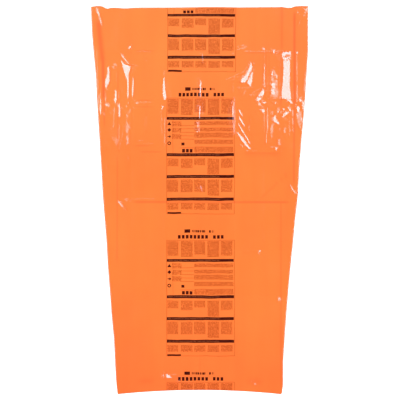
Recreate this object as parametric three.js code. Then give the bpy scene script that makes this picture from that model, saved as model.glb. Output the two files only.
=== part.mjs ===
// A plastic survival bag, opened out and lying flat on its back, its packing creases still in it.
// It is one tube of film: both sides are folds, the foot is welded shut and the mouth is open.
// Millimetres: +X to the right, +Y towards the mouth, +Z up, the origin under the bag's middle.
import * as THREE from 'three';

const { clamp, lerp, smoothstep } = THREE.MathUtils;

// The film's wall, and how far the front layer stands off the floor.
const film = { wall: 1.2, lift: 14, sideLift: 5, sideRun: 60, foldRadius: 3, panelCrown: 0.9 };
// A crease is a straight ridge or trough with flat flanks of this width, softer below the knees.
const crease = { flank: 17, weakest: 0.45, weakBelow: -420, fullAbove: 260 };
// The foot: a weld across the whole width, its edge bowed up between the corners.
const foot = { y: -901.5, weld: 14, bow: 19.5, bowFade: 210, run: 112, seamGap: 0.6 };
// The mouth: its lip lifts a little in waves, and the back layer ends just short of the front.
const mouth = { y: 901.5, fade: 60, lipRise: 3.5, lipRun: 170, lipWave: 150, backShort: 4 };
// The loose unevenness of the film between its creases.
const swell = { height: 0.8, across: 118, along: 173 };
// The mesh: extra rows near both ends, a middle line in each panel wider than widePanel, and the
// least step that is kept between columns where the narrowing bag crowds them.
const grid = { footSteps: [40, 82, 130], mouthSteps: [28, 62, 120], widePanel: 90, leastStep: 3 };

// Where the two side folds lie, measured out from the centre line, from the foot to the mouth.
const outline = [
  { y: -901.5, left: 379, right: 377 },
  { y: -893, left: 381, right: 385 },
  { y: -868, left: 385, right: 388 },
  { y: -756, left: 392, right: 388 },
  { y: -645, left: 397, right: 395 },
  { y: -534, left: 408, right: 403 },
  { y: -422, left: 416, right: 412 },
  { y: -311, left: 425, right: 422 },
  { y: -199, left: 431, right: 434 },
  { y: -88, left: 440, right: 444 },
  { y: 24, left: 449, right: 457 },
  { y: 135, left: 455, right: 462 },
  { y: 247, left: 462, right: 471 },
  { y: 358, left: 469, right: 481 },
  { y: 469, left: 476, right: 490 },
  { y: 581, left: 481, right: 497 },
  { y: 692, left: 492, right: 504 },
  { y: 804, left: 501, right: 504 },
  { y: 901.5, left: 504, right: 504 },
];

// Creases that run from the foot to the mouth, each until the narrowing side cuts it off. Rise is
// up from the panels, and negative for a trough.
const lengthCreases = [
  { x: -439, rise: -3 },
  { x: -378, rise: 3.5 },
  { x: -318, rise: -2.2 },
  { x: -160, rise: 3.2 },
  { x: 5, rise: 4 },
  { x: 160, rise: 2.8 },
  { x: 304, rise: -2.5 },
  { x: 383, rise: 3.8 },
  { x: 441, rise: -3 },
];

// Creases from side to side, where the bag was folded in eight along its length.
const crossCreases = [
  { y: -677, rise: -2.2 },
  { y: -459, rise: 2.6 },
  { y: -232, rise: -2.6 },
  { y: -4, rise: 3.4 },
  { y: 233, rise: -2.8 },
  { y: 469, rise: 4 },
  { y: 688, rise: -3 },
];

// The front layer's lip, from left to right: a full-length strip outside each side crease,
// a notch beside the left one, and a shallow wave between them.
const lip = [
  { x: -504, reach: 0 },
  { x: -447, reach: -1 },
  { x: -434, reach: -13 },
  { x: -378, reach: -10 },
  { x: -160, reach: -8 },
  { x: 5, reach: -5 },
  { x: 160, reach: -8 },
  { x: 304, reach: -8 },
  { x: 383, reach: -5 },
  { x: 432, reach: -8 },
  { x: 441, reach: -1 },
  { x: 504, reach: 0 },
];

// Straight-line reading of a table, held level past its ends.
function readTable(table, at, value, where) {
  const last = table.length - 1;
  if (where <= table[0][at]) return table[0][value];
  if (where >= table[last][at]) return table[last][value];
  const next = table.findIndex((row) => row[at] > where);
  const low = table[next - 1];
  const high = table[next];
  return lerp(low[value], high[value], (where - low[at]) / (high[at] - low[at]));
}

// How far along the gap between two creases a place lies, 0 at each crease and 1 in the middle.
function panelMiddle(table, at, where) {
  const next = table.findIndex((row) => row[at] > where);
  if (next < 1) return 0;
  const share = (where - table[next - 1][at]) / (table[next][at] - table[next - 1][at]);
  return Math.sin(Math.PI * share);
}

// The ridge or trough that a place is on, 0 between the creases.
function creaseRise(table, at, where) {
  const row = table.find((each) => Math.abs(each[at] - where) < crease.flank);
  return row ? row.rise * (1 - Math.abs(row[at] - where) / crease.flank) : 0;
}

const sideAt = (y, side) => readTable(outline, 'y', side < 0 ? 'left' : 'right', y);

// Height of the front layer's outer face at a place of the flat pattern.
function frontHeight(x, y) {
  const loose = smoothstep(sideAt(y, x) - Math.abs(x), 0, film.sideRun);
  const stand = lerp(film.sideLift, film.lift, loose);
  const along = creaseRise(lengthCreases, 'x', x);
  const across = creaseRise(crossCreases, 'y', y);
  const sharp = lerp(crease.weakest, 1, smoothstep(y, crease.weakBelow, crease.fullAbove));
  const creased = sharp * (Math.abs(along) > Math.abs(across) ? along : across);
  const crown = panelMiddle(lengthCreases, 'x', x) * panelMiddle(crossCreases, 'y', y);
  const uneven = swell.height * Math.sin(x / swell.across + 1) * Math.cos(y / swell.along);
  const lipWave = 0.6 + 0.4 * Math.cos(x / mouth.lipWave * Math.PI);
  const lipRise = mouth.lipRise * lipWave * smoothstep(y, mouth.y - mouth.lipRun, mouth.y);
  const free = stand + loose * (creased + film.panelCrown * crown + uneven + lipRise);
  const closed = 2 * film.wall + foot.seamGap;
  const open = smoothstep(y, foot.y + foot.weld, foot.y + foot.weld + foot.run);
  return lerp(closed, free, open);
}

// The creases of a table with both their flanks, and the middles of the wide panels between.
function creaseLines(table, at) {
  const lines = table.flatMap((row) => [row[at] - crease.flank, row[at], row[at] + crease.flank]);
  table.slice(1).forEach((row, index) => {
    const before = table[index][at];
    if (row[at] - before > grid.widePanel) lines.push((before + row[at]) / 2);
  });
  return lines.sort((a, b) => a - b);
}

// The columns across one row, from fold to fold, crowded together where the bag is narrower.
function columnsAt(y, lines) {
  const starts = [-1, 1].map((side) => side * (sideAt(y, side) - film.foldRadius));
  const inside = lines.map((x, index) => {
    const lowest = starts[0] + grid.leastStep * (index + 1);
    const highest = starts[1] - grid.leastStep * (lines.length - index);
    return clamp(x, lowest, highest);
  });
  return [starts[0], ...inside, starts[1]];
}

const frontLines = creaseLines(lengthCreases, 'x');
const backLines = lengthCreases.map(({ x }) => x);

// A row's own place along the bag, bowed at the foot and ragged at the mouth.
function placeAlong(x, y, isBack) {
  const share = x / sideAt(y, x);
  const bow = foot.bow * (1 - share * share) * (1 - smoothstep(y, foot.y, foot.y + foot.bowFade));
  const reach = readTable(lip, 'x', 'reach', x) - (isBack ? mouth.backShort : 0);
  return y + bow + reach * smoothstep(y, mouth.y - mouth.fade, mouth.y);
}

// One closed loop round the tube, as four runs of points: the back from left to right, the right
// fold, the front from right to left and the left fold. inset is 0 on the outer skin and the wall
// on the inner one.
function loopAt(y, inset) {
  const back = columnsAt(y, backLines).map((x) => [x, placeAlong(x, y, true), inset]);
  const front = columnsAt(y, frontLines)
    .map((x) => [x, placeAlong(x, y, false), frontHeight(x, y) - inset]);
  const fold = (side, start) => {
    const x = side * (sideAt(y, side) - inset);
    const along = (placeAlong(x, y, true) + placeAlong(x, y, false)) / 2;
    return [x, along, (start[2] + inset) / 2];
  };
  const right = fold(1, front[front.length - 1]);
  const left = fold(-1, front[0]);
  return [...back, right, ...front.reverse(), left];
}

// The rows along the bag: the creases with their flanks, and finer steps at both ends.
function rowsAlong() {
  const footRows = [0, foot.weld, ...grid.footSteps].map((step) => foot.y + step);
  const mouthRows = [0, ...grid.mouthSteps].map((step) => mouth.y - step);
  return [...footRows, ...creaseLines(crossCreases, 'y'), ...mouthRows].sort((a, b) => a - b);
}

// Puts the loops into one closed mesh: outer skin, inner skin, the rim that joins them at the
// mouth, and an end wall across each skin at the foot.
function bagGeometry() {
  const positions = [];
  const faces = [];
  const addLoop = (loop) => loop.map((point) => positions.push(...point) / 3 - 1);
  const addFace = (a, b, c, flipped) => faces.push(...(flipped ? [a, c, b] : [a, b, c]));
  const addTube = (near, far, flipped) => {
    near.forEach((start, index) => {
      const next = (index + 1) % near.length;
      addFace(start, far[index], far[next], flipped);
      addFace(start, far[next], near[next], flipped);
    });
  };
  // An end wall is zipped up between the back and the front, whichever has the nearer next point.
  const addEnd = (loop, flipped) => {
    const backCount = backLines.length + 2;
    const back = loop.slice(0, backCount);
    const front = loop.slice(backCount + 1, -1).reverse();
    const placeOf = (point) => positions[3 * point];
    let low = 0;
    let high = 0;
    while (low < back.length - 1 || high < front.length - 1) {
      const lowNext = low < back.length - 1 ? placeOf(back[low + 1]) : Infinity;
      const highNext = high < front.length - 1 ? placeOf(front[high + 1]) : Infinity;
      if (lowNext < highNext) {
        addFace(back[low], back[low + 1], front[high], flipped);
        low += 1;
      } else {
        addFace(back[low], front[high + 1], front[high], flipped);
        high += 1;
      }
    }
    addFace(back[low], loop[backCount], front[high], flipped);
    addFace(back[0], front[0], loop[loop.length - 1], flipped);
  };

  const rows = rowsAlong();
  const outer = rows.map((y) => addLoop(loopAt(y, 0)));
  const inner = rows.slice(1).map((y) => addLoop(loopAt(y, film.wall)));
  outer.slice(1).forEach((loop, index) => addTube(outer[index], loop, false));
  inner.slice(1).forEach((loop, index) => addTube(inner[index], loop, true));
  addTube(outer[outer.length - 1], inner[inner.length - 1], false);
  addEnd(outer[0], false);
  addEnd(inner[0], true);

  const geometry = new THREE.BufferGeometry();
  geometry.setAttribute('position', new THREE.Float32BufferAttribute(positions, 3));
  geometry.setIndex(faces);
  geometry.computeVertexNormals();
  return geometry;
}

const orangeFilm = new THREE.MeshStandardMaterial({ color: 0xfe8742, roughness: 0.25, metalness: 0 });
const bag = new THREE.Mesh(bagGeometry(), orangeFilm);
bag.name = 'bag_film';

const survivalBag = new THREE.Group();
survivalBag.add(bag);

export default survivalBag;
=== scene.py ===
import math

import bpy
import numpy as np
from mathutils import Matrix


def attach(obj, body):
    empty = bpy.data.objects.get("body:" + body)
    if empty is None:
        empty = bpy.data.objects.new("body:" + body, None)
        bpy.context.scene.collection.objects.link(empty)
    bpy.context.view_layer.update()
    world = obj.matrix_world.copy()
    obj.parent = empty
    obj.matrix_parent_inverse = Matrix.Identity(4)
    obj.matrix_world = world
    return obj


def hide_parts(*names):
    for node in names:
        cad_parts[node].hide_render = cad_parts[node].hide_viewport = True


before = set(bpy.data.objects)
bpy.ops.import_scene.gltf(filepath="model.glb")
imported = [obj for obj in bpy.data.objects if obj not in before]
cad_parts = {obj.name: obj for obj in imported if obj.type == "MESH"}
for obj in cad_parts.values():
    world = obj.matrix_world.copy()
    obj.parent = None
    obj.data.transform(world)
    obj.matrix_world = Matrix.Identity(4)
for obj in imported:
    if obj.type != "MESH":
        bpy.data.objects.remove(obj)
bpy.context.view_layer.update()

mm = 0.001
bpy.ops.object.select_all(action="DESELECT")


# Short ways to add nodes to the tree that their inputs come from.
def feed(socket, value):
    if isinstance(value, bpy.types.NodeSocket):
        value.id_data.links.new(value, socket)
    else:
        socket.default_value = value


def addNode(kind, *values, **settings):
    tree = next(value.id_data for value in values if isinstance(value, bpy.types.NodeSocket))
    node = tree.nodes.new("ShaderNode" + kind)
    for name, setting in settings.items():
        setattr(node, name, setting)
    for socket, value in zip(node.inputs, values):
        feed(socket, value)
    return node


def calc(operation, *values):
    return addNode("Math", *values, operation=operation).outputs[0]


def less(value, other):
    return calc("SUBTRACT", value, other)


def product(*parts):
    result = parts[0]
    for part in parts[1:]:
        result = calc("MULTIPLY", result, part)
    return result


# 1 where any of the parts is
def anyOf(parts):
    result = parts[0]
    for part in parts[1:]:
        result = calc("ADD", result, part)
    return calc("MINIMUM", result, 1.0)


def between(value, low, high):
    return calc("COMPARE", value, (low + high) / 2, (high - low) / 2)


def remap(value, *ends, way="LINEAR"):
    return addNode("MapRange", value, *ends, interpolation_type=way).outputs[0]


def splitUp(vector):
    return addNode("SeparateXYZ", vector).outputs


def joined(x, y):
    return addNode("CombineXYZ", x, y).outputs[0]


def noise(vector, scale, detail, kind="3D"):
    node = addNode("TexNoise", vector, noise_dimensions=kind)
    node.inputs["Scale"].default_value = scale
    node.inputs["Detail"].default_value = detail
    return node.outputs["Fac"]


# noise made stronger: it reaches both ends this far from its middle
def patchy(vector, scale, detail, reach, *ends):
    return remap(noise(vector, scale, detail), 0.5 - reach, 0.5 + reach, *ends)


def blend(share, first, second, kind="MIX"):
    node = addNode("Mix", share, data_type="RGBA", blend_type=kind)
    feed(node.inputs[6], first)
    feed(node.inputs[7], second)
    return node.outputs[2]


# Studio
print("studio: camera, floor and soft lights")
studio = dict(
    frameWidth=1.8576,  # metres of floor across the picture
    cameraHeight=12.0, cameraEnd=200, aim=(0.0023, 0.0005), sensor=36.0,
    floorSize=60.0, floorDrop=0.0004, floorColour=(0.95, 0.95, 0.95, 1), floorRoughness=0.9,
    floorShine=0.1,
    skyColour=(1, 1, 1, 1), skyStrength=0.10,
    # brighter patches of the room, which end so low that only slanting views mirror them
    roomStrength=0.9, patchScale=4.0, patchEdges=(0.5, 0.58), patchTop=(0.74, 0.86),
    lampHeight=8.0,
    # how brightly a flat gleams, and how far out it aims: from a box's dim edge to its middle
    gleams=(0.25, 0.5, 0.7, 0.85, 1.0), gleamOuts=(1.98, 2.15, 2.3, 2.6, 3.15),
    mouthOut=(2.8, 0.4),  # the same past the mouth: start and gain
    darkOut=1.6,  # a back slope aims at the gap between the boxes
)
# Each side box is bright, with a dim inner edge, and a third box hangs past the mouth.
lampColumns = ("name", "x", "y", "wide", "long", "glow")
lamps = (
    ("boxRight", 3.2, -0.4, 1.4, 8.4, 17.0),
    ("boxLeft", -3.2, -0.4, 1.4, 8.4, 17.0),
    ("boxRightEdge", 2.22, 1.2, 0.55, 4.8, 5.6),
    ("boxLeftEdge", -2.22, 1.2, 0.55, 4.8, 5.6),
    ("boxMouth", 0.0, 3.0, 2.4, 1.0, 5.6),
)


def makeCamera():
    data = bpy.data.cameras.new("camera")
    data.sensor_width = studio["sensor"]
    data.lens = studio["sensor"] * studio["cameraHeight"] / studio["frameWidth"]
    data.clip_end = studio["cameraEnd"]
    camera = bpy.data.objects.new("camera", data)
    camera.location = (*studio["aim"], studio["cameraHeight"])
    bpy.context.scene.collection.objects.link(camera)
    bpy.context.scene.camera = camera


def makeFloor():
    place = (0, 0, -studio["floorDrop"])
    bpy.ops.mesh.primitive_plane_add(size=studio["floorSize"], location=place)
    floor = bpy.context.object
    floor.name = "floor"
    bpy.ops.object.transform_apply(location=True)
    paint = bpy.data.materials.new("palePaper")
    paint.use_nodes = True
    shader = paint.node_tree.nodes["Principled BSDF"]
    shader.inputs["Base Color"].default_value = studio["floorColour"]
    shader.inputs["Roughness"].default_value = studio["floorRoughness"]
    shader.inputs["Specular IOR Level"].default_value = studio["floorShine"]
    floor.data.materials.append(paint)


def makeLamps():
    for row in lamps:
        lamp = dict(zip(lampColumns, row))
        data = bpy.data.lights.new(lamp["name"], "AREA")
        data.shape = "RECTANGLE"
        data.size, data.size_y = lamp["wide"], lamp["long"]
        data.energy = lamp["glow"] * math.pi * lamp["wide"] * lamp["long"]
        light = bpy.data.objects.new(lamp["name"], data)
        light.location = (lamp["x"], lamp["y"], studio["lampHeight"])
        light.visible_camera = False
        bpy.context.scene.collection.objects.link(light)


# a dim, even sky, with the room's patches low down in it
def makeRoom():
    world = bpy.data.worlds.new("paleRoom")
    world.use_nodes = True
    nodes = world.node_tree.nodes
    sky = nodes["Background"]
    sky.inputs["Color"].default_value = studio["skyColour"]
    way = nodes.new("ShaderNodeTexCoord").outputs["Generated"]
    bright = remap(noise(way, studio["patchScale"], 1), *studio["patchEdges"], 0, 1)
    low = remap(splitUp(way)[2], *studio["patchTop"], 1, 0)
    glow = calc("MULTIPLY_ADD", product(bright, low), studio["roomStrength"], studio["skyStrength"])
    feed(sky.inputs["Strength"], glow)
    bpy.context.scene.world = world


makeCamera()
makeFloor()
makeLamps()
makeRoom()
bpy.context.scene.view_settings.view_transform = "Standard"
bpy.context.scene.view_settings.look = "None"

# The film bag. Sizes are millimetres, seen from above: +x right, +y towards the mouth.
print("film: shape of the laid-out bag")
bag = dict(
    wall=0.35, stand=14.0, sideStand=4.8, sideRun=300.0, foldRadius=2.4, swell=0.9, swellCell=130,
    footY=-901.5, mouthY=901.5, weld=14.0, weldHeight=0.9, footRun=150.0,
    footBow=19.5, bowFade=210.0, lipFade=60.0, lipRise=3.5, lipRun=170.0, lipWave=150.0,
    backShort=4.0, backSwell=0.5, backCell=90,
    sideEase=22.0,  # how far the corners of the outline are eased
)
seeds = dict(swell=11, back=16, crumples=31, mottles=71, across=300, upright=400, foot=700)

outline = dict(
    y=(-901.5, -893, -868, -756, -645, -534, -422, -311, -199, -88, 24, 135, 247, 358, 469,
       581, 692, 804, 901.5),
    left=(379, 381, 385, 392, 397, 408, 416, 425, 431, 440, 449, 455, 462, 469, 476,
          481, 492, 501, 504),
    right=(377, 385, 388, 388, 395, 403, 412, 422, 434, 444, 457, 462, 471, 481, 490,
           497, 504, 504, 504),
)
lip = dict(
    x=(-504, -496, -475, -457, -446, -437, -430, -425, -418, -390, -372, -354, -333, -304, -212,
       -148, -34, 22, 86, 164, 178, 228, 299, 370, 381, 391, 405, 427, 437, 445, 476, 494, 501, 505),
    reach=(-5, -3, -0.6, -1.2, -4.5, -10, -15.5, -13.5, -10, -8.8, -10.5, -12, -12, -9.5, -9,
           -9, -7.7, -6.3, -6.3, -7.4, -8.4, -7.7, -7, -6.4, -4.6, -6.6, -9, -8.8, -4.6, -1.8,
           -0.4, -1.6, -0.4, -4),
)

# Packing folds: a line from one place to another, how far its ridge rises (a trough is negative),
# how wide each of its flanks is, and its end taper.
foldColumns = ("x0", "y0", "x1", "y1", "rise", "flank", "taper")
packingFolds = (
    (-439, 905, -439, 60, -0.1, 16, 40), (-378, 880, -378, -880, 0.12, 14, 60),
    (-318, 700, -318, -300, -0.25, 14, 60), (-160, 900, -160, -600, 0.3, 12, 60),
    (5, 900, 5, -860, 0.4, 14, 60), (160, 900, 160, -600, 0.3, 12, 60),
    (304, 880, 304, -240, -0.25, 14, 60), (383, 900, 383, -880, 0.12, 14, 60),
    (439, 905, 439, 60, -0.1, 16, 40), (-470, 688, 480, 688, -0.6, 16, 40),
    (-465, 469, 475, 469, 0.6, 14, 40), (-450, 233, 460, 233, -0.7, 14, 40),
    (-440, -4, 450, -4, -0.8, 9, 40), (-425, -232, 430, -232, -0.9, 12, 60),
    (-410, -459, 405, -459, 0.9, 12, 60), (-395, -677, 390, -677, -0.8, 12, 60),
)

# Flats of film that catch a soft box. Each faces the side it lies on, and gleams fully (1), palely
# (0.5) or faintly (0.25). Its edges are given from the top down: y, left edge, right edge.
gleams = (
    # left of the print
    (0.82, (902, -484, -472), (880, -479, -466), (850, -469, -458), (806, -455, -446)),
    (0.45, (876, -424, -415), (867, -418, -409)), (0.5, (868, -375, -365), (851, -372, -363)),
    (0.5, (856, -413, -403), (846, -409, -402)), (0.5, (890, -404, -396), (880, -401, -394)),
    (1, (717, -321, -314), (709, -330, -316), (701, -330, -321)),
    (0.5, (690, -330, -318), (679, -324, -317)),
    (1, (684, -371, -365), (661, -355, -348), (648, -344, -337), (634, -333, -326),
     (622, -323, -319)),
    (1, (648, -365, -360), (632, -360, -349), (622, -356.5, -319), (612, -354.5, -319),
     (596, -350, -323), (580, -345, -327), (566, -338.5, -328), (546, -336, -328),
     (512, -335.5, -327.5), (487, -335, -328), (466, -333, -329)),
    (1, (572, -311, -305), (540, -312, -305), (500, -313, -305.5), (476, -313, -307)),
    (0.5, (660, -257, -249), (649, -255, -242), (638, -246, -239)),
    (0.5, (624, -407, -391), (610, -403, -394)),
    (1, (618, -426, -418), (596, -428, -416), (566, -433, -416), (552, -437, -416.5),
     (540, -438.5, -420), (530, -438, -427), (521, -436, -431)),
    (0.5, (715, -480, -474), (640, -477, -472), (560, -474, -469), (495, -472, -467)),
    (0.5, (524, -461, -455), (480, -461, -455)),
    (1, (470, -461, -455), (424, -464, -453), (396, -460, -456)),
    (0.5, (506, -441, -432), (480, -441, -432), (450, -438, -430), (405, -436, -430)),
    (0.5, (600, -386, -381), (520, -385, -380)),
    (1, (518, -391, -384), (480, -393, -384), (455, -397, -384), (443, -393, -385)),
    (0.5, (440, -397, -389), (400, -400, -393), (326, -401, -395)),
    (0.5, (514, -377, -371), (462, -377, -371)),
    (1, (450, -376, -369), (415, -376, -366), (378, -375, -367)),
    (0.25, (360, -376, -368), (260, -378, -369)), (1, (458, -332, -325), (443, -331, -325)),
    (0.5, (438, -345, -331), (428, -342, -332)), (0.5, (437, -325, -318), (400, -324, -318)),
    (0.25, (415, -342, -320), (330, -343, -318)),
    (0.5, (335, -342, -326), (300, -342, -324), (257, -340, -326)),
    (0.3, (350, -350, -344), (290, -364, -357), (240, -374, -368)),
    (0.5, (452, -255, -245), (440, -254, -246)), (0.3, (402, -255, -245), (311, -256, -246)),
    (0.5, (322, -256, -246), (310, -256, -247)), (0.5, (292, -252, -246), (278, -251, -246)),
    (0.5, (610, -168, -160), (566, -169, -161)),
    (1, (572, -167, -162), (540, -170, -159), (512, -172.5, -157), (496, -172.5, -154.5),
     (480, -168, -151.5), (465, -163, -155)),
    (1, (448, -171, -166), (430, -178, -165), (414, -179, -168)),
    (0.5, (414, -180, -172), (396, -180, -174)), (0.35, (400, -178, -171), (298, -178, -172)),
    (0.35, (390, -166, -157), (246, -164, -157)), (1, (233, -381, -374), (223, -381, -375)),
    (0.5, (247, -378, -366), (233, -374, -364)), (0.5, (219, -238, -231), (209, -238, -231)),
    (0.5, (202, -337, -322), (194, -334, -324)), (0.5, (695, -169, -160), (685, -167, -158)),
    (0.5, (30, -367, -354), (14, -364, -354)),
    (0.8, (0, -381, -374), (-16, -375, -361), (-30, -363, -348), (-46, -346, -337)),
    (0.5, (7, -350, -330), (-6, -342, -330)), (0.5, (164, -434, -424), (148, -432, -425)),
    (0.5, (100, -447, -440), (84, -446, -439)),
    # down the middle
    (0.5, (692, 8, 15), (660, 9, 17), (628, 15, 21)),
    (1, (562, 3, 7), (540, -1, 8), (515, -1, 8), (486, 0, 6), (470, 0, 4)),
    (1, (446, -2, 5), (400, -3, 4), (372, -3, 3)), (0.5, (474, 0, 6), (444, -1, 5)),
    (0.5, (462, 11, 17), (372, 11, 16)), (0.5, (366, -10, 4), (340, -13, 4), (314, -9, 2)),
    (0.45, (312, -10, -2), (236, -9, -1)),
    (0.5, (78, -3, 4), (60, 0, 12), (40, 6, 18), (30, 9, 17)),
    # right of the print
    (0.5, (574, 158, 164), (540, 152, 158), (495, 152, 158)),
    (0.5, (486, 159, 167), (440, 160, 168)),
    (0.5, (458, 152, 165), (414, 149, 168), (374, 149, 168), (345, 152, 168), (300, 158, 167)),
    (0.85, (446, 150, 158), (400, 149, 157), (384, 150, 156)),
    (1, (428, 175, 182), (407, 184, 194), (385, 198, 205)),
    (1, (394, 175, 184), (374, 184, 195), (360, 193, 202), (347, 203, 210), (338, 209, 214)),
    (0.5, (338, 209, 216), (317, 224, 232)),
    (1, (361, 172, 179), (331, 189, 197), (304, 206, 213), (281, 220, 227), (254, 235, 241)),
    (1, (315, 170, 179), (301, 179, 192), (288, 186, 205), (274, 196, 213), (261, 206, 221),
     (248, 217, 231), (236, 228, 241)), (0.5, (256, 190, 204), (245, 195, 205)),
    (0.5, (384, 235, 241), (352, 235, 241)), (0.5, (357, 224, 230), (314, 229, 235)),
    (0.5, (306, 236, 244), (300, 240, 252), (291, 252, 261)),
    (1, (640, 233, 241), (619, 230, 245), (606, 224, 243), (589, 216, 236), (573, 205, 228),
     (560, 191, 224), (548, 189, 215), (541, 197, 208)),
    (1, (588, 196, 203), (573, 192, 202), (562, 193, 198)), (1, (641, 247, 256), (628, 248, 255)),
    (0.5, (612, 247, 255), (592, 246, 253)),
    (1, (594, 239, 250), (573, 233, 246), (560, 226, 245), (546, 219, 243), (534, 228, 241),
     (524, 234, 240)), (0.5, (520, 212, 220), (500, 203, 212), (480, 195, 202)),
    (0.5, (524, 199, 207), (505, 191, 199), (490, 187, 194)),
    (0.5, (536, 178, 190), (505, 180, 188)), (0.5, (496, 237, 243), (482, 237, 242)),
    (0.35, (718, 205, 226), (708, 190, 222), (696, 180, 200)),
    (0.5, (700, 298, 304), (636, 298, 303)),
    (1, (640, 297, 303), (600, 297, 303.5), (512, 297, 303.5)),
    (0.4, (612, 307, 312), (470, 307, 312)),
    (1, (518, 294, 302), (497, 280, 302), (484, 270, 296), (472, 264, 288), (459, 262, 277)),
    (1, (456, 290, 309), (447, 294, 308)), (1, (422, 281, 302), (412, 288, 302), (404, 294, 300)),
    (0.5, (416, 258, 270), (406, 262, 270)),
    (0.8, (432, 311, 318), (380, 310, 319), (330, 311, 320), (310, 308, 315), (256, 306, 313)),
    (0.25, (420, 296, 306), (300, 297, 306)), (0.5, (720, 322, 331), (712, 322, 330)),
    (1, (706, 296, 303), (698, 288, 302)), (0.5, (626, 364, 371), (612, 364, 370)),
    (0.35, (610, 334, 346), (566, 330, 362), (530, 327, 367), (467, 323, 369)),
    (1, (600, 333, 340), (583, 331, 342), (568, 334, 343)),
    (1, (544, 333, 346), (534, 331, 349), (522, 335, 348)),
    (1, (514, 330, 346), (503, 329, 350), (490, 332, 347)), (0.5, (488, 336, 358), (472, 338, 360)),
    (1, (690, 383, 426), (678, 380, 425), (652, 385, 419), (639, 388.5, 420),
     (613, 388.5, 419.5), (580, 387, 419), (546, 384.5, 418), (513, 381, 420.5), (487, 380, 424),
     (468, 380.5, 426)), (1, (465, 402, 424), (457, 412, 430), (448, 424, 434)),
    (0.5, (515, 430, 435), (462, 430, 435)), (1, (425, 384, 400), (414, 387, 394)),
    (1, (411, 394, 416), (398, 388, 406), (384, 381, 391)),
    (1, (393, 345, 353), (378, 341, 356), (370, 339, 360), (360, 349, 370), (350, 362, 373)),
    (0.5, (430, 356, 376), (416, 364, 376)), (0.25, (414, 328, 344), (396, 328, 342)),
    (0.5, (336, 387, 402), (312, 388, 400)), (0.35, (350, 328, 342), (288, 328, 342)),
    (0.5, (284, 362, 377), (254, 362, 376)), (0.6, (396, 413, 420), (288, 414, 420)),
    (0.75, (436, 428, 435), (310, 429, 435)), (1, (689, 445, 459), (679, 448, 456)),
    (0.5, (679, 448, 455), (540, 448, 456)),
    (0.7, (545, 449, 456), (500, 448, 457), (446, 448, 456)),
    (1, (437, 448, 462), (424, 448, 466), (410, 451, 464)), (1, (444, 466, 478), (429, 468, 479)),
    (0.5, (412, 446, 478), (370, 450, 476), (334, 462, 473)),
    (0.5, (636, 486, 495), (622, 486, 494)), (0.5, (600, 489, 495), (500, 482, 489)),
    (0.4, (273, 376, 382), (200, 377, 382)), (0.82, (72, 417, 424), (48, 426, 438), (32, 440, 456)),
    (1, (898, 480, 486), (888, 484, 489), (880, 487, 491)),
    (1, (899, 489, 495), (884, 493, 499), (874, 495, 499)), (0.6, (882, 472, 479), (876, 476, 484)),
    (0.5, (869, 458, 464), (863, 462, 472)),
    (0.5, (836, 463, 470), (820, 458, 465), (806, 452, 458)),
    (0.5, (684, 153, 162), (672, 156, 162)), (0.79, (-450, 362, 378), (-474, 364, 379)),
)

# The same across the bag, facing the mouth. Here the edges are x, lower edge, upper edge.
crossGleams = (
    (0.5, (321, 696, 703), (355, 696, 703)), (0.3, (200, 687, 694), (378, 687, 694)),
    (0.3, (-300, 687, 693), (-215, 687, 693)), (0.4, (-296, 451, 458), (-210, 451, 458)),
    (0.3, (-290, 273, 279), (-236, 273, 279)), (0.3, (-290, 259, 265), (-200, 259, 265)),
    (0.3, (-290, 210, 216), (-180, 210, 216)), (0.4, (210, 226, 233), (275, 226, 233)),
    (0.3, (318, 210, 216), (378, 210, 216)), (0.4, (321, 243, 250), (365, 243, 250)),
    (0.35, (180, 518, 524), (260, 518, 524)), (0.8, (262, 462, 469), (304, 459, 466)),
    (0.5, (258, 450, 457), (286, 448, 455)), (0.6, (284, 432, 440), (303, 432, 440)),
    (0.4, (336, 613, 620), (356, 613, 620)), (0.5, (330, 452, 459), (362, 451, 458)),
    (0.4, (196, -239, -232), (286, -237, -230)), (0.3, (-330, 3, 9), (-190, 3, 9)),
)

# The same on the slope above the weld, pressed after the slope is made.
footGleams = (
    (0.8, (-799, -168, -159), (-818, -174, -159)), (0.79, (-820, -184, -168), (-840, -181, -167)),
    (1, (-817, -158, -147), (-827, -156, -131), (-841, -153, -130)),
    (0.8, (-824, -128, -110), (-842, -125, -104)),
    (0.79, (-846, -120, -98), (-862, -98, -70), (-880, -76, -44)),
    (0.74, (-850, 242, 256), (-864, 250, 265), (-876, 260, 274)),
)

# Crumpled patches: middle, half size, height and how coarse the creases in it are.
crumpleColumns = ("x", "y", "halfX", "halfY", "height", "cell")
crumpleFade = 1.7  # how steeply a patch fades out towards its reach
crumples = (
    (347, 530, 26, 78, 2.2, 17), (405, 655, 24, 40, 1.3, 15), (474, 878, 36, 34, 0.7, 10),
    (300, 450, 44, 34, 1.8, 18), (400, 400, 60, 60, 1.5, 20), (466, 430, 28, 70, 1.6, 17),
    (235, 500, 44, 60, 0.3, 16), (235, 340, 60, 110, 0.7, 22), (340, 330, 60, 90, 1.1, 24),
    (-330, 440, 70, 50, 1.2, 19), (-430, 450, 50, 100, 1.0, 19), (-390, 300, 70, 90, 0.8, 22),
    (-380, 520, 40, 60, 0.6, 20), (0, 470, 60, 230, 0.8, 22), (-400, 620, 40, 20, 1.2, 12),
)

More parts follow.
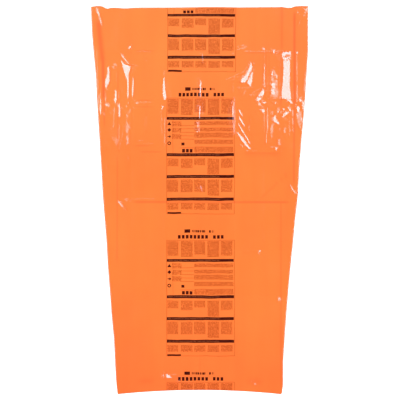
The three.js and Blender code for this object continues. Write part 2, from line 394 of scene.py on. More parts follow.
# Finer crumples that lie over the flats too.
mottles = (
    (348, 530, 30, 82, 0.32, 11), (404, 664, 22, 28, 1.0, 8), (404, 560, 24, 110, 0.12, 14),
    (352, 330, 40, 110, 0.55, 17), (410, 350, 30, 110, 0.4, 15), (465, 380, 24, 90, 0.22, 14),
    (300, 450, 44, 30, 0.4, 11), (230, 580, 36, 70, 0.15, 12), (190, 520, 30, 40, 0.3, 12),
    (-330, 360, 34, 120, 0.3, 15), (-440, 480, 40, 170, 0.3, 13), (-335, 600, 30, 60, 0.2, 12),
    (215, 225, 60, 16, 0.4, 12), (0, 340, 20, 50, 0.35, 11),
)

# Where film lies doubled in a fold it looks deeper in colour: a line, its width and its depth.
# These lines are also painted shade: in the creases, in the grooves by the side folds and in the
# dents at the foot.
shadeColumns = ("x0", "y0", "x1", "y1", "width", "depth")
foldShades = (
    (-472, 850, -447, 620, 20, 0.9), (-449, 700, -445, 450, 12, 1.0),
    (-444, 540, -441, 330, 6, 0.6), (441, 890, 440, 420, 9, 1.0), (440, 460, 438, 60, 7, 0.7),
    (379, 690, 378, 420, 5, 0.7), (383, 930, 382, 680, 9, 0.5), (-378, 620, -380, 220, 4, 0.55),
    (-381, 218, -383, -300, 6, 0.5), (378, 20, 378, -880, 6, 0.5), (-320, -8, 430, -9, 6, 0.85),
    (-317, 253, -215, 253, 5, 0.5), (-290, 224, -160, 224, 5, 0.55), (190, 218, 384, 218, 5, 0.55),
    (-310, 692, -200, 692, 5, 0.6), (-310, 463, -200, 463, 4, 0.6), (-310, 433, -200, 433, 4, 0.5),
    (-150, 465, 160, 463, 5, 0.35), (-150, 688, 160, 688, 5, 0.3), (200, 684, 470, 684, 6, 0.4),
    (271, -4, 430, 142, 7, 0.3), (246, 640, 238, 590, 5, 0.5), (183, 534, 225, 530, 5, 0.7),
    (318, 447, 352, 436, 8, 0.6), (309, 720, 309, 480, 4, 0.5), (323, 700, 323, 460, 4, 0.4),
    (-302, -850, -195, -850, 22, 0.35), (205, -850, 306, -850, 22, 0.35),
    (2, -720, 2, -820, 5, 0.3),
)


def asRows(columns, rows):
    return [dict(zip(columns, row)) for row in rows]


def asGleams(rows):
    return [dict(gleam=gleam, edges=edges) for gleam, *edges in rows]


def smoothStep(value, low, high):
    share = np.clip((value - low) / (high - low), 0, 1)
    return share * share * (3 - 2 * share)


# random heights at the four corners of each place's cell, and the place's share of it
def latticeCorners(x, y, cell, seed):
    size = 128
    lattice = np.random.default_rng(seed).uniform(-1, 1, (size, size))
    column, row = np.floor(x / cell).astype(int), np.floor(y / cell).astype(int)
    corners = [lattice[(row + up) % size, (column + over) % size]
               for up in (0, 1) for over in (0, 1)]
    return corners, x / cell - column, y / cell - row


# smooth noise from -1 to 1
def softNoise(x, y, cell, seed):
    corners, across, along = latticeCorners(x, y, cell, seed)
    across, along = smoothStep(across, 0, 1), smoothStep(along, 0, 1)
    low = corners[0] * (1 - across) + corners[1] * across
    high = corners[2] * (1 - across) + corners[3] * across
    return low * (1 - along) + high * along


# noise from -1 to 1 made of flat three-cornered facets, like crumpled film, on a slanting lattice
def facetNoise(x, y, cell, seed):
    turnedX, turnedY = x * 0.8 + y * 0.45, y * 0.7 - x * 0.5
    (a, b, c, d), across, along = latticeCorners(turnedX, turnedY, cell, seed)
    near = a + (b - a) * across + (c - a) * along
    far = d + (c - d) * (1 - across) + (b - d) * (1 - along)
    return np.where(across + along < 1, near, far)


# how far out a side fold lies, eased over the corners of its table
def sideAt(y, side):
    table = outline["left" if side < 0 else "right"]
    near = [np.interp(y + step * bag["sideEase"], outline["y"], table) for step in (-1, 0, 1)]
    return (near[0] + 2 * near[1] + near[2]) / 4


def sideNear(x, y):
    return np.where(x < 0, sideAt(y, -1), sideAt(y, 1))


# where places lie along a line, from 0 to its length, and how far across it
def alongAndAcross(x, y, line):
    dx, dy = line["x1"] - line["x0"], line["y1"] - line["y0"]
    length = math.hypot(dx, dy)
    along = ((x - line["x0"]) * dx + (y - line["y0"]) * dy) / length
    across = ((y - line["y0"]) * dx - (x - line["x0"]) * dy) / length
    return along, across, length


def endTaper(along, length, taper):
    return smoothStep(along, 0, taper) * smoothStep(length - along, 0, taper)


def foldHeight(x, y, fold):
    along, across, length = alongAndAcross(x, y, fold)
    tent = np.clip(1 - np.abs(across) / fold["flank"], 0, 1)
    return fold["rise"] * tent * endTaper(along, length, fold["taper"])


# 0 at the weld, and 1 where the bag stands fully open
def openedAt(y):
    weldEnd = bag["footY"] + bag["weld"]
    return smoothStep(y, weldEnd, weldEnd + bag["footRun"])


# the front layer's height before any fold is in it
def panelHeight(x, y):
    loose = np.clip((sideNear(x, y) - np.abs(x)) / bag["sideRun"], 0, 1)
    wave = 0.6 + 0.4 * np.cos(x / bag["lipWave"] * math.pi)
    lifted = smoothStep(y, bag["mouthY"] - bag["lipRun"], bag["mouthY"])
    swell = bag["swell"] * softNoise(x, y, bag["swellCell"], seeds["swell"])
    risen = bag["stand"] - bag["sideStand"] + swell + bag["lipRise"] * wave * lifted
    return bag["sideStand"] + risen * loose


# a patch of facets that fades out over the last part of its reach
def crumpleHeight(x, y, patch, seed):
    reach = np.hypot((x - patch["x"]) / patch["halfX"], (y - patch["y"]) / patch["halfY"])
    fade = np.clip(crumpleFade * (1 - reach), 0, 1)
    return patch["height"] * fade * facetNoise(x, y, patch["cell"], seed)


# the slope that mirrors a lamp, out metres from the middle, into the camera
def catchSlope(place, out):
    lampAngle = np.arctan((out - place * mm) / studio["lampHeight"])
    return np.tan((lampAngle - np.arctan(place * mm / studio["cameraHeight"])) / 2)


# Narrow flats run to points, and the film behind a crest falls away. Both its edges waver a little.
press = dict(
    slack=3.0, ends=5.0, narrow=14, pointed=0.5, backReach=110.0, backEnds=16.0,
    footWaver=0.7, crestWaver=0.5, aimWaver=0.16, waverCell=17, waverPlace=31.0,
    # the painted shade behind each crest: how deep, how far behind it lies and how wide
    shade=0.3, shadePlace=2.5, shadeWidth=3.2,
)


# the side that a flat faces, left (-1) or right (1)
def facing(gleam):
    beyondMiddle = -100
    return -1 if gleam["edges"][0][1] < beyondMiddle else 1


# Presses one flat into the height map, row by row: a plane from its foot up to its crest, and a
# gentle slope behind. The same is drawn into the shade map, where the film turns at the crest.
def pressFlat(height, shade, rows, places, gleam, face, out, seed):
    edges = np.array(sorted(gleam["edges"]))
    noise = softNoise(rows, np.full(len(rows), press["waverPlace"]), press["waverCell"], seed)
    low = np.interp(rows, edges[:, 0], edges[:, 1]) + press["footWaver"] * noise
    high = np.interp(rows, edges[:, 0], edges[:, 2]) - press["crestWaver"] * noise
    slack, isNarrow = press["slack"], max(edges[:, 2] - edges[:, 1]) < press["narrow"]
    for index in np.flatnonzero((rows > edges[0, 0] - slack) & (rows < edges[-1, 0] + slack)):
        fromEnd = min(rows[index] - edges[0, 0], edges[-1, 0] - rows[index]) + slack
        ends = min(1, fromEnd / press["ends"])
        line = height[index]
        foot, crest = (high[index], low[index]) if face > 0 else (low[index], high[index])
        if isNarrow and abs(crest - foot) > press["pointed"] * fromEnd:
            middle, reach = (crest + foot) / 2, face * press["pointed"] * fromEnd / 2
            foot, crest = middle + reach, middle - reach
        slope = catchSlope(face * foot, out + press["aimWaver"] * noise[index])
        footHeight = np.interp(foot, places, line)
        crestHeight = footHeight + slope * abs(crest - foot)
        distance = (foot - places) * face
        behind = distance - abs(crest - foot)
        flat = (distance > 0) & (behind <= 0)
        falling = crestHeight - catchSlope(-face * crest, studio["darkOut"]) * behind
        isBack = (behind > 0) & (behind < press["backReach"])
        target = np.where(isBack, np.maximum(line, falling), line)
        target[flat] = footHeight + slope * distance[flat]
        taper = np.where(behind > 0, min(ends, fromEnd / press["backEnds"]), ends)
        height[index] = line + (target - line) * taper
        # painted shade: a darker line just behind the crest, where the film turns
        turn = np.exp(-((behind - press["shadePlace"]) / press["shadeWidth"]) ** 2)
        shade[index] = np.maximum(shade[index], press["shade"] * gleam["gleam"] * ends * turn)


# how far out a flat's foot lies: the outermost are pressed first, and the others stand on them
def footOut(gleam):
    return max(facing(gleam) * edge for row in gleam["edges"] for edge in row[1:])


def pressUpright(maps, rows, places, table, seed):
    for index, gleam in enumerate(table):
        out = np.interp(gleam["gleam"], studio["gleams"], studio["gleamOuts"])
        pressFlat(*maps, rows, places, gleam, facing(gleam), out, seed + index)


# The front layer as a height map and a shade map, both read by the mesh.
grid = dict(x=520, y=910, stepX=1.5, stepY=2.0, sideEdge=(1, 10), shadeEnds=40, shadeSoft=2.8,
            fineSide=(4, 12), fineFoot=20, fineMouth=2)


def frontMaps():
    places = np.arange(-grid["x"], grid["x"] + 0.5, grid["stepX"])
    rows = np.arange(-grid["y"], grid["y"] + 1, grid["stepY"])
    x, y = np.meshgrid(places, rows)
    panels = panelHeight(x, y)
    height = panels.copy()
    for fold in asRows(foldColumns, packingFolds):
        height += foldHeight(x, y, fold)
    for index, patch in enumerate(asRows(crumpleColumns, crumples)):
        height += crumpleHeight(x, y, patch, seeds["crumples"] + index)
    # the shade map: painted shade, with the deeper colour of film in two layers
    shade = np.zeros_like(height)
    for line in asRows(shadeColumns, foldShades):
        along, across, length = alongAndAcross(x, y, line)
        ends = endTaper(along, length, grid["shadeEnds"])
        soft = np.exp(-grid["shadeSoft"] * (across / line["width"]) ** 2)
        shade = np.maximum(shade, line["depth"] * soft * ends)
    for index, gleam in enumerate(asGleams(crossGleams)):
        out = studio["mouthOut"][0] + studio["mouthOut"][1] * gleam["gleam"]
        pressFlat(height.T, shade.T, places, rows, gleam, 1, out, seeds["across"] + index)
    outermost = sorted(asGleams(gleams), key=footOut, reverse=True)
    pressUpright((height, shade), rows, places, outermost, seeds["upright"])
    for index, patch in enumerate(asRows(crumpleColumns, mottles)):
        height += crumpleHeight(x, y, patch, seeds["mottles"] + index)
    freed = smoothStep(sideNear(x, y) - np.abs(x), *grid["sideEdge"])
    height = panels + (height - panels) * freed
    height = bag["weldHeight"] + (height - bag["weldHeight"]) * openedAt(y)
    pressUpright((height, shade), rows, places, asGleams(footGleams), seeds["foot"])
    return places, rows, height, shade


# a map's value between its places
def readMap(values, places, rows, x, y):
    column = np.clip((x - places[0]) / (places[1] - places[0]), 0, len(places) - 1.001)
    row = np.clip((y - rows[0]) / (rows[1] - rows[0]), 0, len(rows) - 1.001)
    left, low = column.astype(int), row.astype(int)
    over, up = column - left, row - low
    below = values[low, left] * (1 - over) + values[low, left + 1] * over
    above = values[low + 1, left] * (1 - over) + values[low + 1, left + 1] * over
    return below * (1 - up) + above * up


# a row's own place along the bag: bowed at the foot, ragged at the lip
def placeAlong(x, y, back):
    side = sideNear(x, y)
    bowed = 1 - smoothStep(y, bag["footY"], bag["footY"] + bag["bowFade"])
    reach = np.interp(x, lip["x"], lip["reach"]) - bag["backShort"] * back
    atLip = smoothStep(y, bag["mouthY"] - bag["lipFade"], bag["mouthY"])
    return y + bag["footBow"] * (1 - (x / side) ** 2) * bowed + reach * atLip


# The mesh of both skins. Sizes are columns of the back, then turns of a side fold.
skin = dict(
    outer=(25, 5), inner=(13, 3), frontHalf=496, innerHalf=470, innerColumns=48, innerRows=60,
    innerTop=(860, 880), nearSide=(1.4, 3.2), sideRoom=6, squeeze=0.4, thinnest=0.1, turn=60,
    tall=60, upright=0.08, inEdge=0.8, apart=(1.6, 1.7), wayGap=0.02,
)


# How far apart the rows and the columns are: from, to and the step. The first that fits counts.
rowSteps = (
    (-902, -879.5, 4.0), (885.5, 902, 4.0), (-14, 6, 4.0), (200, 705, 3.4), (705, 902, 7.0),
    (-60, 75, 7.0), (-245, -219, 6.0), (-472, -446, 6.0), (-690, -664, 6.0), (-902, -761.5, 14.0),
    (-902, 902, 20.0),
)
columnSteps = (
    (-482, -298, 3.6), (-178, -142, 3.6), (-13, 23, 3.6), (142, 178, 3.6), (168, 482, 3.6),
    (-500, 500, 10.0),
)


def spread(low, high, steps):
    places = [low]
    while places[-1] < high:
        fits = (step for start, end, step in steps if start < places[-1] < end)
        places.append(places[-1] + next(fits))
    share = (high - low) / (places[-1] - low)
    return np.array([low + (place - low) * share for place in places])


# the front's columns: even ones, and one along each edge of every long upright flat
def frontColumns():
    exact = []
    for gleam in asGleams(gleams):
        rows = gleam["edges"]
        tall = rows[0][0] - rows[-1][0]
        if tall > skin["tall"] and abs(rows[0][1] - rows[-1][1]) < skin["upright"] * tall:
            middle = rows[len(rows) // 2]
            exact += [middle[1] + skin["inEdge"], middle[2] - skin["inEdge"]]
    kept = []
    for place in sorted(exact):
        if not kept or place - kept[-1] > skin["apart"][0]:
            kept.append(place)
    even = [place for place in spread(-skin["frontHalf"], skin["frontHalf"], columnSteps)
            if min(abs(place - each) for each in kept) > skin["apart"][1]]
    return np.array(sorted(kept + even))


# triangles between two runs of vertices, whose ways rise from the same start to the same end
def zipped(first, firstWay, second, secondWay):
    faces, near, far = [], 0, 0
    while near < len(first) - 1 or far < len(second) - 1:
        farDone, nearDone = far == len(second) - 1, near == len(first) - 1
        if farDone or (not nearDone and firstWay[near + 1] <= secondWay[far + 1]):
            faces.append((first[near], first[near + 1], second[far]))
            near += 1
        else:
            faces.append((first[near], second[far + 1], second[far]))
            far += 1
    return faces


# One skin of the tube as closed rings: the back from left to right, the right fold, the front
# from right to left and the left fold. inset is 0 outside and the wall inside.
def skinRings(rows, inside, size, maps, inset):
    places, mapRows, height, _ = maps
    backCount, turns = size
    nearSide = np.array(skin["nearSide"])  # extra columns just inside each side fold
    leftSide, rightSide = sideAt(rows, -1), sideAt(rows, 1)
    opened = openedAt(rows)
    outerRadius = bag["weldHeight"] / 2 + (bag["foldRadius"] - bag["weldHeight"] / 2) * opened
    radius = np.maximum(outerRadius - inset, skin["thinnest"])
    low, high = (-leftSide + outerRadius)[:, None], (rightSide - outerRadius)[:, None]
    order = skin["squeeze"] * np.arange(len(inside))  # a narrow row crowds its columns
    room = skin["sideRoom"]
    middle = np.clip(inside[None, :], low + room + order, high - room - order[::-1])
    x = np.concatenate([low, low + nearSide, middle, high - nearSide[::-1], high], 1)
    y = np.repeat(rows[:, None], x.shape[1], 1)
    z = readMap(height, places, mapRows, x, y)
    if inset:
        z = np.maximum(z - inset, 2 * inset)
    z[:, 0] = z[:, -1] = outerRadius + radius
    front = np.stack([x, placeAlong(x, y, 0), z], 2)
    backX = low + (high - low) * np.linspace(0, 1, backCount)
    backY = np.repeat(rows[:, None], backCount, 1)
    uneven = np.clip(softNoise(backX, backY, bag["backCell"], seeds["back"]), 0, 1)
    backZ = bag["backSwell"] * uneven * opened[:, None]
    backZ[:, (0, -1)] = 0
    back = np.stack([backX, placeAlong(backX, backY, 1), backZ + inset], 2)
    angles = np.radians(np.linspace(skin["turn"], -skin["turn"], turns))
    turnX, turnZ = np.cos(angles)[None, :], np.sin(angles)[None, :]
    share = (1 - turnZ) / 2
    folds = []
    for side, edge, end in ((1, high, -1), (-1, low, 0)):
        foldY = front[:, end, 1][:, None] * (1 - share) + back[:, end, 1][:, None] * share
        foldX = edge + side * radius[:, None] * turnX
        folds.append(np.stack([foldX, foldY, outerRadius[:, None] + radius[:, None] * turnZ], 2))
    rings = np.concatenate([back, folds[0][:, ::-1], front[:, ::-1], folds[1]], 1)
    # how far round the lip each column lies: 0 to 1 on the back, to 2, to 3 on the front, to 4
    backWay, frontWay = ((each - each[0]) / (each[-1] - each[0]) for each in (backX[-1], x[-1]))
    even, gap = np.linspace(0, 1, turns), skin["wayGap"]
    runs = (backWay, even, 1 - frontWay[::-1], even)
    way = np.concatenate([start + gap + (1 - 2 * gap) * run for start, run in enumerate(runs)])
    return rings, way, x, y


def skinFaces(start, rowCount, count, flipped):
    rowIndex, ringIndex = np.meshgrid(np.arange(rowCount - 1), np.arange(count), indexing="ij")
    here = start + rowIndex * count + ringIndex
    after = start + rowIndex * count + (ringIndex + 1) % count
    corners = [here, here + count, after + count, after]
    return np.stack(corners[::-1] if flipped else corners, 2).reshape(-1, 4).tolist()


# the end of a skin at the foot: its front edge and its back edge are closed by one strip
def footFaces(start, ring, backCount, turns, flipped):
    count = len(ring)
    backEdge = list(range(start, start + backCount))
    frontStart, frontEnd = backCount + turns, count - turns
    frontEdge = list(range(start + frontStart, start + frontEnd))[::-1]
    places = ring[:, 0]
    faces = zipped(backEdge, places[:backCount], frontEdge, places[frontStart:frontEnd][::-1])
    faces.append((backEdge[-1], *range(start + backCount, start + frontStart), frontEdge[-1]))
    faces.append((backEdge[0], frontEdge[0], *range(start + frontEnd, start + count)))
    return [face[::-1] for face in faces] if flipped else faces


# the lowest film near each place, under which the coarser inner skin lies
def lowestNear(height):
    lowest = height.copy()
    for shift in (1, 2, 4, 8):
        for axis in (0, 1):
            for way in (-shift, shift):
                lowest = np.minimum(lowest, np.roll(lowest, way, axis))
    return lowest


# Two maps: the flat pattern in metres for the print, on which the back and the inside lie apart,
# and one for baking that gives the front most room. Each strip of that has its start and width.
flatStarts = dict(back=3, inside=6)
bakeMap = dict(front=(0.006, 0.55), back=(0.57, 0.22), inner=(0.8, 0.08), innerFront=0.085,
               rim=(0.8, 0.16), rimUp=0.999, reach=510, cap=(0.975, 0.005), capUp=(0.01, 0.98),
               capReach=400, up=(0.004, 0.992))


def addUvMaps(mesh, vertices, outerSkin, innerSkin, faceEnds):
    rings, rows = outerSkin["rings"], outerSkin["rows"]
    count, backCount = rings.shape[1], skin["outer"][0]
    innerStart, innerCount = len(rows) * count, innerSkin["rings"].shape[1]
    step = np.hypot(*np.diff(rings[-1][:, (0, 2)], axis=0, append=rings[-1][:1, (0, 2)]).T)
    around = np.concatenate([[0], np.cumsum(step)])
    backWay = around[:backCount] / around[backCount - 1]
    frontWay = (around - around[backCount - 1]) / (around[-1] - around[backCount - 1])
    length = bag["mouthY"] - bag["footY"]
    up, innerUp = (bakeMap["up"][0] + bakeMap["up"][1] * (each["rows"] - bag["footY"]) / length
                   for each in (outerSkin, innerSkin))

    def inStrip(name, share):
        return bakeMap[name][0] + bakeMap[name][1] * share

    def acrossBy(x, reach):
        return 0.5 + x / (2 * reach)

    flatUv, bakeUv = [], []
    for face in mesh.polygons:
        isOuter = face.index < faceEnds[0]
        isCap = not isOuter and face.index < faceEnds[1]
        isBack = isOuter and face.index % count < backCount - 1
        isLast = isOuter and face.index % count == count - 1
        for vertex in face.vertices:
            x, y, z = vertices[vertex]
            half = acrossBy(x, bakeMap["reach"])
            row, place = vertex // count, vertex % count
            if isOuter or isCap:
                flatY = y if rows[row] < 0 else rows[row]  # the foot's bow is cut, the lip is bent
                flatStart = flatStarts["back"] if isBack or isCap else 0
                flatUv.append((x * mm + flatStart, flatY * mm))
            else:
                flatUv.append((x * mm + flatStarts["inside"], y * mm))
            if isCap:
                share = acrossBy(x, bakeMap["capReach"])
                bakeUv.append((inStrip("cap", z), inStrip("capUp", share)))
            elif isBack:
                bakeUv.append((inStrip("back", backWay[place]), up[row]))
            elif isOuter:
                share = 0 if isLast and place == 0 else 1 - frontWay[place]
                bakeUv.append((inStrip("front", share), up[row]))
            elif vertex < innerStart:
                bakeUv.append((inStrip("rim", half), bakeMap["rimUp"]))
            else:
                row, place = (vertex - innerStart) // innerCount, (vertex - innerStart) % innerCount
                shift = 0 if innerSkin["way"][place] < 1.5 else bakeMap["innerFront"]
                bakeUv.append((shift + inStrip("inner", half), innerUp[row]))
    for name, pairs in (("filmFlat", flatUv), ("OFBake", bakeUv)):
        layer = mesh.uv_layers.new(name=name)
        layer.data.foreach_set("uv", np.array(pairs, dtype=np.float32).ravel())


# the front is shaded by the height map's own slopes, which are finer than the mesh
def shadeBySlopes(mesh, maps, frontX, frontY, ringShape, frontSlice):
    places, mapRows, height, _ = maps
    normals = np.empty(len(mesh.vertices) * 3, dtype=np.float32)
    mesh.vertices.foreach_get("normal", normals)
    normals = normals.reshape(-1, 3)
    tilt = [readMap(np.gradient(height, step, axis=axis), places, mapRows, frontX, frontY)
            for step, axis in ((grid["stepX"], 1), (grid["stepY"], 0))]
    fine = np.stack([-tilt[0], -tilt[1], np.ones_like(frontX)], 2)
    fine /= np.linalg.norm(fine, axis=2, keepdims=True)
    ringNormals = normals[:ringShape[0] * ringShape[1]].reshape(*ringShape, 3)
    inMiddle = smoothStep(sideNear(frontX, frontY) - np.abs(frontX), *grid["fineSide"])
    inMiddle *= frontY > bag["footY"] + grid["fineFoot"]
    inMiddle *= frontY < bag["mouthY"] - grid["fineMouth"]
    front = ringNormals[:, frontSlice]
    front += (fine[:, ::-1] - front) * inMiddle[:, ::-1, None]
    mesh.normals_split_custom_set_from_vertices(normals.tolist())


def makeFilm():
    maps = frontMaps()
    places, mapRows, height, shade = maps
    rows = spread(bag["footY"], bag["mouthY"], rowSteps)
    outer, outerWay, frontX, frontY = skinRings(rows, frontColumns(), skin["outer"], maps, 0)
    nearTop, top = skin["innerTop"]
    innerRows = np.linspace(bag["footY"] + bag["weld"], nearTop, skin["innerRows"])
    innerRows = np.concatenate([innerRows, (top, bag["mouthY"])])
    innerColumns = np.linspace(-skin["innerHalf"], skin["innerHalf"], skin["innerColumns"])
    innerMaps = (places, mapRows, lowestNear(height), shade)
    inner, innerWay, _, _ = skinRings(innerRows, innerColumns, skin["inner"], innerMaps, bag["wall"])

    # both skins, an end wall for each at the foot, and the rim that joins them at the mouth
    count, innerCount = outer.shape[1], inner.shape[1]
    innerStart = len(rows) * count
    outerFaces = skinFaces(0, len(rows), count, False)
    footCap = footFaces(0, outer[0], *skin["outer"], False)
    innerFaces = skinFaces(innerStart, len(innerRows), innerCount, True)
    innerFaces += footFaces(innerStart, inner[0], *skin["inner"], True)
    lastOuter = innerStart - count + np.arange(count + 1) % count
    lastInner = innerStart + (len(inner) - 1) * innerCount
    lastInner = lastInner + np.arange(innerCount + 1) % innerCount
    whole = 4 + skin["wayGap"]
    rim = zipped(lastInner.tolist(), [*innerWay, whole], lastOuter.tolist(), [*outerWay, whole])
    vertices = np.concatenate([outer.reshape(-1, 3), inner.reshape(-1, 3)])
    mesh = bpy.data.meshes.new("bagFilm")
    mesh.from_pydata((vertices * mm).tolist(), [], outerFaces + footCap + innerFaces + rim)
    mesh.update()

    frontSlice = slice(sum(skin["outer"]), count - skin["outer"][1])
    # the front's painted shade, with the deeper colour of film in two layers, as a vertex attribute
    ringShade = np.zeros((len(rows), count))
    ringShade[:, frontSlice] = readMap(shade, places, mapRows, frontX, frontY)[:, ::-1]
    depth = np.zeros(len(vertices))
    depth[:innerStart] = ringShade.ravel()
    mesh.attributes.new("foldShade", "FLOAT", "POINT").data.foreach_set("value", depth)
    faceEnds = (len(outerFaces), len(outerFaces) + len(footCap))
    addUvMaps(mesh, vertices, dict(rings=outer, rows=rows),
              dict(rings=inner, rows=innerRows, way=innerWay), faceEnds)
    plain = np.zeros(len(mesh.polygons), dtype=np.int32)
    plain[faceEnds[1]:] = 1
    mesh.polygons.foreach_set("material_index", plain)
    mesh.polygons.foreach_set("use_smooth", np.ones(len(mesh.polygons), dtype=bool))
    mesh.update()
    shadeBySlopes(mesh, maps, frontX, frontY, (len(rows), count), frontSlice)
    film = bpy.data.objects.new("bagFilm", mesh)
    bpy.context.scene.collection.objects.link(film)
    print("film:", len(rows), "rows,", count, "round,", len(mesh.polygons), "faces")
    return film


# How the film looks. Each tint deepens its colour.
look = dict(
    fromFoot=(-0.9, 0.9),
    # painted light: darker at the foot and paler towards the mouth, as the light falls off along the
    # bag
    foot=(0.703, 0.139, 0.0290, 1), mouth=(0.719, 0.182, 0.0400, 1),  # paler towards the mouth
    onTheWay=((0.3, (0.711, 0.163, 0.0310, 1)), (0.55, (0.715, 0.164, 0.0318, 1)),
              (0.75, (0.719, 0.174, 0.0368, 1))),
    cloudScale=3.2, cloudTint=(0.95, 0.90, 0.92, 1),
    bandScale=(14.0, 1.6), bandTint=(0.99, 0.945, 0.96, 1), bandShare=0.8,
    # painted shade: darker towards the lower left and upper right corners
    cornerReach=0.2, cornerShadeTint=(1.0, 0.93, 0.965, 1),
    # deeper colour of film in two layers, and painted shade in creases and dents
    foldShadeTint=(0.985, 0.66, 0.78, 1),
    thinInk=(0.25, 0.027, 0.001, 1), ink=(0.038, 0.002, 0.0, 1), inBars=(0.56, 0.17, 0.07, 1),
    ruleShare=0.75, inBarShare=0.22, wearScale=60.0, wear=(0.97, 1.0),
    roughScale=11.0, roughness=(0.07, 0.12), ior=1.51, shine=(0.86, 0.815, 1.0, 1),
    bumpScale=70.0, bumpStrength=0.35, bumpHeight=0.0006,
)

# The printed panel repeats along the film. Millimetres: x as on the bag, s down from the top of
# a repeat's frame. It is all plain boxes, rows of dashes and simple marks.
panel = dict(
    top=474.0, repeat=659.5,
    slip=(600, 870, 0, 10.7), drift=(300, 650, 0, 4.4),  # the print strays along and across
    strays=(9.0, 17.0), straySize=5.0,
    linePitch=4.6, lineInk=(0.2, 0.8),  # lines of small dashes
    dashes=(0.75, 0.43), dashShift=7.31, barDashes=(0.12, 0.45), smallDashes=(0.16, 0.42),
    smallShift=3.7, barDashSpan=(-147, 92), barDashHalf=1.6,
    blockRow=(-101, 112, 636, 652.5), blockPitch=18.1, blockInk=(0.04, 0.72), blockGap=(42, 58),
    smallRow=(-36, 67, 613, 624), markX=-139.8,
)
panelBars = ((87.8, 100.8), (256.3, 270.7), (357.6, 371.5), (462.1, 476.5))
# boxes: x from and to, s from and to
panelBoxes = (
    *((-151.9, 159.8, low, high) for low, high in panelBars),
    (-149.5, -85.9, 529.4, 537.3), (-84, -70, 208, 221), (-81, -68, 237, 253),
    (-63.5, -50.5, 237, 253), (-46, -33, 237, 253), (-70, -44, 610, 626),
)
panelRules = (
    (-153.3, -151.4, 0, 537.8), (161.6, 163.5, 0, 537.8), (-153.3, 163.5, 0, 1.9),
    (-153.3, 163.5, 536.85, 538.75), (-123.6, -122.4, 101, 256),
    *((-90, -25, s - 0.95, s + 0.95) for s in (128, 143, 160, 176, 192, 232)),
)
# blocks of lines: x from and to, then where each ends
panelColumns = (
    (-149.5, -98.5, 70, 316, 433, 517),
    (-86.8, -32.0, 76, 323, 436, 517),
    (-25.1, 26.9, 66, 310, 433, 516),
    (36.7, 90.6, 77, 355, 453, 520),
    (99.4, 152.8, 72, 323, 436, 517),
)
panelBlockStarts = (3, 280.5, 378, 485)
panelNotes = (
    (-24, 157, ((106, 125), (135, 152), (158, 181), (191, 213), (225, 252))),
    (-127, -84, ((106, 129), (136.6, 159.6), (167.3, 190.3))),
)
panelMarks = ((118, "triangle"), (148.6, "diamond"), (179.3, "arrow"), (210.4, "ring"))


# 1 where value, from 0 to length, lies in one of the spans
def inSpans(value, length, spans):
    ramp = addNode("ValToRGB", calc("DIVIDE", value, length))
    ramp.color_ramp.interpolation = "CONSTANT"
    elements = ramp.color_ramp.elements
    elements.remove(elements[1])
    elements[0].position, elements[0].color = 0, (0, 0, 0, 1)
    for low, high in spans:
        elements.new(low / length).color = (1, 1, 1, 1)
        elements.new(high / length).color = (0, 0, 0, 1)
    return ramp.outputs[0]


def dashed(x, line, kind):
    scale, least = panel[kind]
    return calc("GREATER_THAN", noise(joined(product(x, scale), line), 1.0, 1, "2D"), least)


# a triangle, a diamond, an arrow or a ring, around the place where dx and ds are 0
def markAt(dx, ds, kind):
    wide, tall = calc("ABSOLUTE", dx), calc("ABSOLUTE", ds)
    if kind == "triangle":
        reach = product(calc("ADD", ds, 8.0), 0.62)
        return product(calc("LESS_THAN", wide, reach), between(ds, -8, 7.5))
    if kind == "diamond":
        return calc("LESS_THAN", calc("ADD", wide, tall), 9.5)
    if kind == "arrow":
        head = product(calc("LESS_THAN", tall, less(9.0, dx)), between(dx, 1, 9))
        return calc("ADD", head, product(calc("LESS_THAN", tall, 2.2), between(dx, -8, 1)))
    return between(calc("SQRT", calc("ADD", product(dx, dx), product(ds, ds))), 4.4, 8.6)


def printOn(colour, place, flat):
    flatX, flatY = (product(way, 1000.0) for way in splitUp(flat)[:2])
    sway, lean = (product(less(noise(place, scale, 1), 0.5), panel["straySize"])
                  for scale in panel["strays"])
    slip, drift = (remap(flatY, *panel[name], way="SMOOTHSTEP") for name in ("slip", "drift"))
    x = less(calc("ADD", flatX, sway), drift)
    down = less(panel["top"], calc("ADD", calc("ADD", flatY, slip), lean))
    s = calc("FLOORED_MODULO", down, panel["repeat"])

    def box(left, right, top, bottom):
        return product(between(x, left, right), between(s, top, bottom))

    lines = calc("DIVIDE", s, panel["linePitch"])
    line = calc("FLOOR", lines)
    dashes = product(between(less(lines, line), *panel["lineInk"]),
                     dashed(x, product(line, panel["dashShift"]), "dashes"))
    blocks = [(left, right, list(zip(panelBlockStarts, ends)))
              for left, right, *ends in panelColumns]
    inBlocks = anyOf([product(between(x, left, right), inSpans(s, panel["repeat"], spans))
                      for left, right, spans in (*blocks, *panelNotes)])
    thin = calc("MAXIMUM", product(inBlocks, dashes),
                product(anyOf([box(*rule) for rule in panelRules]), look["ruleShare"]))

    half = panel["barDashHalf"]
    middles = [(low + high) / 2 for low, high in panelBars]
    inBars = product(anyOf([between(s, middle - half, middle + half) for middle in middles]),
                     dashed(x, line, "barDashes"), between(x, *panel["barDashSpan"]))

    solid = [box(*each) for each in panelBoxes]
    dx = less(x, panel["markX"])
    solid += [markAt(dx, less(s, markS), kind) for markS, kind in panelMarks]
    blockWay = calc("DIVIDE", less(x, panel["blockRow"][0]), panel["blockPitch"])
    blockShare = less(blockWay, calc("FLOOR", blockWay))
    solid.append(product(box(*panel["blockRow"]), between(blockShare, *panel["blockInk"]),
                         less(1.0, between(x, *panel["blockGap"]))))
    solid.append(product(box(*panel["smallRow"]), dashed(x, panel["smallShift"], "smallDashes")))

    colour = blend(thin, colour, look["thinInk"])
    ink = blend(product(inBars, look["inBarShare"]), look["ink"], look["inBars"])
    wear = patchy(place, look["wearScale"], 2, 0.15, *look["wear"])
    return blend(product(anyOf(solid), wear), colour, ink)


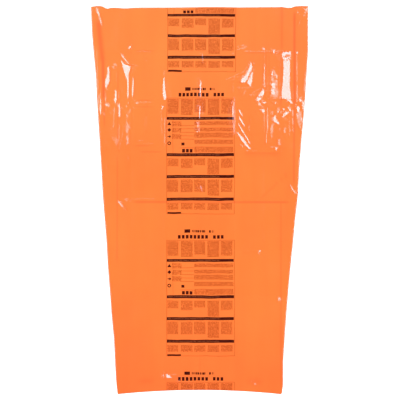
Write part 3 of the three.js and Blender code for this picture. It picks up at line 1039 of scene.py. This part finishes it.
def filmColour(place, paintedFoldShade):
    across, along = splitUp(place)[:2]
    # painted light falloff: the colour runs from the darker foot to the paler mouth
    tint = addNode("ValToRGB", remap(along, *look["fromFoot"], 0, 1))
    stops = tint.color_ramp.elements
    stops[0].color, stops[1].color = look["foot"], look["mouth"]
    for position, colour in look["onTheWay"]:
        stops.new(position).color = colour
    bandPlace = joined(*map(product, (across, along), look["bandScale"]))
    corner = look["cornerReach"]
    colour = tint.outputs[0]
    for share, name in (
        (patchy(place, look["cloudScale"], 3, 0.2, 0, 1), "cloudTint"),
        (patchy(bandPlace, 1.0, 3, 0.15, 0, look["bandShare"]), "bandTint"),
        (remap(product(across, along), -corner, corner, 0, 1), "cornerShadeTint"),
        (paintedFoldShade, "foldShadeTint"),
    ):
        colour = blend(share, colour, look[name], "MULTIPLY")
    return colour


def filmMaterial(name, printed):
    paint = bpy.data.materials.new(name)
    paint.use_nodes = True
    nodes = paint.node_tree.nodes
    shader = nodes["Principled BSDF"]
    place = nodes.new("ShaderNodeTexCoord").outputs["Object"]
    # the fold shade attribute: deeper colour of film in two layers, and painted shade
    paintedFoldShade = nodes.new("ShaderNodeAttribute")
    paintedFoldShade.attribute_name = "foldShade"
    colour = filmColour(place, paintedFoldShade.outputs["Fac"])
    if printed:
        flat = nodes.new("ShaderNodeUVMap")
        flat.uv_map = "filmFlat"
        colour = printOn(colour, place, flat.outputs[0])
    bump = nodes.new("ShaderNodeBump")
    bump.inputs["Strength"].default_value = look["bumpStrength"]
    bump.inputs["Distance"].default_value = look["bumpHeight"]
    feed(bump.inputs["Height"], noise(place, look["bumpScale"], 3))
    for socket, value in (
        ("Base Color", colour), ("IOR", look["ior"]), ("Specular Tint", look["shine"]),
        ("Roughness", patchy(place, look["roughScale"], 2, 0.2, *look["roughness"])),
        ("Normal", bump.outputs[0]),
    ):
        feed(shader.inputs[socket], value)
    return paint


film = makeFilm()
film.data.materials.append(filmMaterial("orangeFilmPrinted", True))
film.data.materials.append(filmMaterial("orangeFilmPlain", False))
triangles = sum(len(face.vertices) - 2 for face in film.data.polygons)
print("film: with its wall,", triangles, "triangles")

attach(film, "root")
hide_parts("bag_film")
